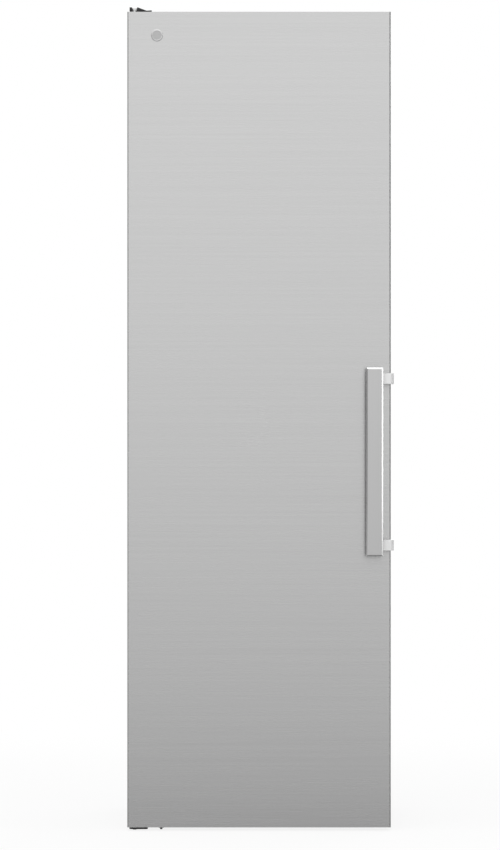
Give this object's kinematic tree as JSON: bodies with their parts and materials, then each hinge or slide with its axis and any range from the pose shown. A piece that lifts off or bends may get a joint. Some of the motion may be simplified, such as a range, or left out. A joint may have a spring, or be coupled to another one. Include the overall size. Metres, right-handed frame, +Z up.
{
  "type": "refrigerator",
  "caption": "Tall free-standing refrigerator with one full-height stainless door, bar handle, glass shelves, door bins and a rear wire condenser.",
  "frame": {"origin": "on the floor, under the middle of the whole width and depth", "axes": "+Z up, +X to the right seen from the front, the door faces -Y"},
  "size_m": [0.601, 0.695, 1.86],
  "materials": {
    "stainless": "horizontally brushed, satin",
    "handle_steel": "satin, bright edges",
    "side_paint": "fine textured grey enamel",
    "zinc_steel": "zinc-plated sheet, dull",
    "white_liner": "thermoformed white, satin gloss",
    "foam": "rigid polyurethane foam",
    "door_foam": "rigid polyurethane foam",
    "black_enamel": "semi-gloss black enamel",
    "black_plastic": "fine grain",
    "grey_plastic": "fine grain",
    "hinge_steel": "bright zinc",
    "copper": "drawn copper, slightly dull",
    "clear_glass": "clear toughened glass",
    "clear_plastic": "clear moulded styrene",
    "opal": "opal diffuser",
    "trim_white": "satin white",
    "satin_trim": "satin anodised",
    "chrome_wire": "bright",
    "gasket_grey": "soft vinyl",
    "black_rubber": "matte"
  },
  "bodies": {
    "cabinet": {"cabinet_shell": "side_paint", "back_panel": "zinc_steel", "base_pan": "zinc_steel", "cabinet_insulation": "foam", "inner_liner": "white_liner", "evaporator": "satin_trim", "compressor_rail": "zinc_steel", "compressor_mounts": "black_rubber", "compressor": "black_enamel", "terminal_cover": "black_plastic", "drain_pan": "black_plastic", "drain_tube": "grey_plastic", "filter_drier": "copper", "refrigerant_pipes": "copper", "condenser": "black_enamel", "condenser_clips": "black_plastic", "hinge_pins": "hinge_steel", "hinge_screws": "hinge_steel", "top_hinge_bracket": "hinge_steel", "top_hinge_cover": "black_plastic", "bottom_hinge_bracket": "black_enamel", "crisper_cover": "clear_glass", "crisper_cover_trim": "trim_white", "air_duct_panel": "trim_white", "fan_motor": "black_plastic", "control_housing": "trim_white", "lamp_cover": "opal"},
    "door": {"door_skin": "stainless", "door_end_caps": "grey_plastic", "door_insulation": "door_foam", "door_liner": "white_liner", "door_gasket": "gasket_grey", "badge": "handle_steel", "handle_bar": "handle_steel", "handle_brackets": "handle_steel", "handle_screws": "hinge_steel", "hinge_bushes": "black_plastic"},
    "fan": {"fan_blade": "grey_plastic"},
    "dial": {"temperature_dial": "grey_plastic"},
    "slider": {"humidity_slider": "grey_plastic"},
    "left_crisper": {"left_crisper": "clear_plastic"},
    "right_crisper": {"right_crisper": "clear_plastic"},
    "bottle_rack": {"bottle_rack": "chrome_wire"},
    "left_foot": {"left_foot": "black_plastic"},
    "right_foot": {"right_foot": "black_plastic"},
    "rollers": {"rear_rollers": "black_plastic"},
    "shelf_1": {"glass_shelf_1": "clear_glass", "shelf_trim_1": "trim_white"},
    "shelf_2": {"glass_shelf_2": "clear_glass", "shelf_trim_2": "trim_white"},
    "shelf_3": {"glass_shelf_3": "clear_glass", "shelf_trim_3": "trim_white"},
    "shelf_4": {"glass_shelf_4": "clear_glass", "shelf_trim_4": "trim_white"},
    "bin_1": {"door_bin_1": "clear_plastic"},
    "bin_2": {"door_bin_2": "clear_plastic"},
    "bin_3": {"door_bin_3": "clear_plastic"},
    "bin_4": {"door_bin_4": "clear_plastic"},
    "bin_5": {"door_bin_5": "clear_plastic"}
  },
  "joints": [
    {"name": "door_swing", "type": "hinge", "parent": "cabinet", "child": "door", "pos_m": [-0.2812, -0.2785, 0.93], "axis": [0, 0, -1], "range_deg": [0, 130]},
    {"name": "fan_spin", "type": "hinge", "parent": "cabinet", "child": "fan", "pos_m": [0, 0.2435, 1.636], "axis": [0, 1, 0], "continuous": true},
    {"name": "dial_turn", "type": "hinge", "parent": "cabinet", "child": "dial", "pos_m": [0, -0.1605, 1.775], "axis": [0, -1, 0], "range_deg": [0, 270]},
    {"name": "slider_slide", "type": "slide", "parent": "cabinet", "child": "slider", "axis": [1, 0, 0], "range_m": [0, 0.04]},
    {"name": "left_crisper_slide", "type": "slide", "parent": "cabinet", "child": "left_crisper", "axis": [0, -1, 0], "range_m": [0, 0.026]},
    {"name": "right_crisper_slide", "type": "slide", "parent": "cabinet", "child": "right_crisper", "axis": [0, -1, 0], "range_m": [0, 0.026]},
    {"name": "bottle_rack_slide", "type": "slide", "parent": "cabinet", "child": "bottle_rack", "axis": [0, -1, 0], "range_m": [0, 0.026]},
    {"name": "left_foot_turn", "type": "hinge", "parent": "cabinet", "child": "left_foot", "pos_m": [-0.2216, -0.262, 0.005], "axis": [0, 0, 1], "continuous": true},
    {"name": "right_foot_turn", "type": "hinge", "parent": "cabinet", "child": "right_foot", "pos_m": [0.235, -0.185, 0.02], "axis": [0, 0, 1], "continuous": true},
    {"name": "roller_spin", "type": "hinge", "parent": "cabinet", "child": "rollers", "pos_m": [0, 0.2875, 0.015], "axis": [1, 0, 0], "continuous": true},
    {"name": "shelf_1_slide", "type": "slide", "parent": "cabinet", "child": "shelf_1", "axis": [0, -1, 0], "range_m": [0, 0.026]},
    {"name": "shelf_2_slide", "type": "slide", "parent": "cabinet", "child": "shelf_2", "axis": [0, -1, 0], "range_m": [0, 0.026]},
    {"name": "shelf_3_slide", "type": "slide", "parent": "cabinet", "child": "shelf_3", "axis": [0, -1, 0], "range_m": [0, 0.026]},
    {"name": "shelf_4_slide", "type": "slide", "parent": "cabinet", "child": "shelf_4", "axis": [0, -1, 0], "range_m": [0, 0.026]},
    {"name": "bin_1_lift", "type": "slide", "parent": "door", "child": "bin_1", "axis": [0, 0, 1], "range_m": [0, 0.03]},
    {"name": "bin_2_lift", "type": "slide", "parent": "door", "child": "bin_2", "axis": [0, 0, 1], "range_m": [0, 0.03]},
    {"name": "bin_3_lift", "type": "slide", "parent": "door", "child": "bin_3", "axis": [0, 0, 1], "range_m": [0, 0.03]},
    {"name": "bin_4_lift", "type": "slide", "parent": "door", "child": "bin_4", "axis": [0, 0, 1], "range_m": [0, 0.03]},
    {"name": "bin_5_lift", "type": "slide", "parent": "door", "child": "bin_5", "axis": [0, 0, 1], "range_m": [0, 0.03]}
  ]
}
